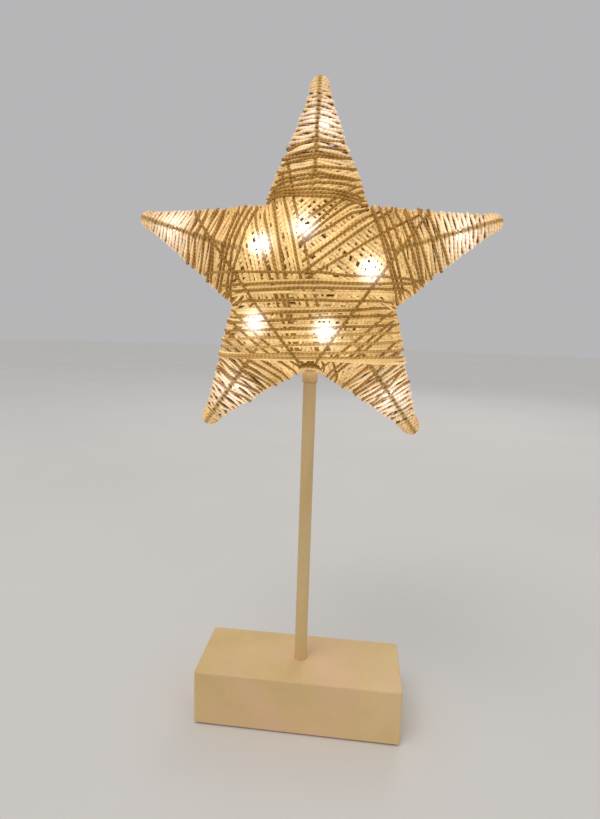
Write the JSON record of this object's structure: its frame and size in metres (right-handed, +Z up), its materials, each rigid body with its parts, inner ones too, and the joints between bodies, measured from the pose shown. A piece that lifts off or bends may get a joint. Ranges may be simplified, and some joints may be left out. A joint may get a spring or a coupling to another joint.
{
  "type": "star table lamp",
  "caption": "Battery table lamp: a five-pointed wire star wound with paper cord and lit from inside, on a thin round pole standing on a rectangular block.",
  "frame": {"origin": "centre of the footprint, on the table surface under the feet", "axes": "+X along the block to the right seen from the front, +Y to the back, +Z up; the star faces -Y"},
  "size_m": [0.2102, 0.0578, 0.3912],
  "materials": {
    "painted_block": "matte cream paint over fibreboard",
    "painted_pole": "satin cream powder coat",
    "cord_top": "twisted paper cord",
    "cord_left": "twisted paper cord",
    "cord_right": "twisted paper cord",
    "cord_lower_left": "twisted paper cord",
    "cord_lower_right": "twisted paper cord",
    "cord_body": "twisted paper cord",
    "frame_wire": "cream lacquered steel wire",
    "stem_metal": "drawn tube",
    "collar_plastic": "frosted translucent",
    "tray_plastic": "moulded, fine texture",
    "door_plastic": "moulded, fine texture",
    "foot_rubber": "matte",
    "zinc_screw": "zinc plated",
    "cell_wrap": "printed film sleeve",
    "contact_metal": "nickel plated",
    "spring_metal": "nickel plated",
    "board_laminate": "green solder mask",
    "chip_plastic": "moulded epoxy",
    "resistor_body": "lacquer",
    "switch_can": "tin plated",
    "switch_knob": "moulded",
    "lead_pvc": "pvc insulation",
    "lead_clear": "translucent insulation",
    "string_copper": "enamelled copper",
    "led_resin": "clear resin drop, lit",
    "nipple_brass": "turned",
    "nut_zinc": "zinc plated",
    "washer_zinc": "zinc plated"
  },
  "bodies": {
    "lamp": {"base_block": "painted_block", "feet": "foot_rubber", "battery_tray": "tray_plastic", "tray_screws": "zinc_screw", "aa_cells": "cell_wrap", "contact_plates": "contact_metal", "contact_springs": "spring_metal", "circuit_board": "board_laminate", "board_screws": "zinc_screw", "timer_chip": "chip_plastic", "resistor": "resistor_body", "switch_housing": "switch_can", "battery_leads": "lead_pvc", "pole": "painted_pole", "pole_nipple": "nipple_brass", "pole_washer": "washer_zinc", "pole_nut": "nut_zinc", "pole_collar": "collar_plastic", "frame_stem": "stem_metal", "frame_outline": "frame_wire", "front_ridges": "frame_wire", "back_ridges": "frame_wire", "led_string": "string_copper", "led_bulbs": "led_resin", "lead_wire": "lead_clear", "twine_arm_top": "cord_top", "twine_arm_left": "cord_left", "twine_arm_right": "cord_right", "twine_arm_lower_left": "cord_lower_left", "twine_arm_lower_right": "cord_lower_right", "twine_body": "cord_body"},
    "door": {"battery_door": "door_plastic"},
    "slider": {"switch_slider": "switch_knob"}
  },
  "joints": [
    {"name": "switch_slide", "type": "slide", "parent": "lamp", "child": "slider", "axis": [1, 0, 0], "range_m": [0, 0.004]},
    {"name": "door_hinge", "type": "hinge", "parent": "lamp", "child": "door", "pos_m": [-0.047, 0, 0.0021], "axis": [0, 1, 0], "range_deg": [0, 85]}
  ]
}
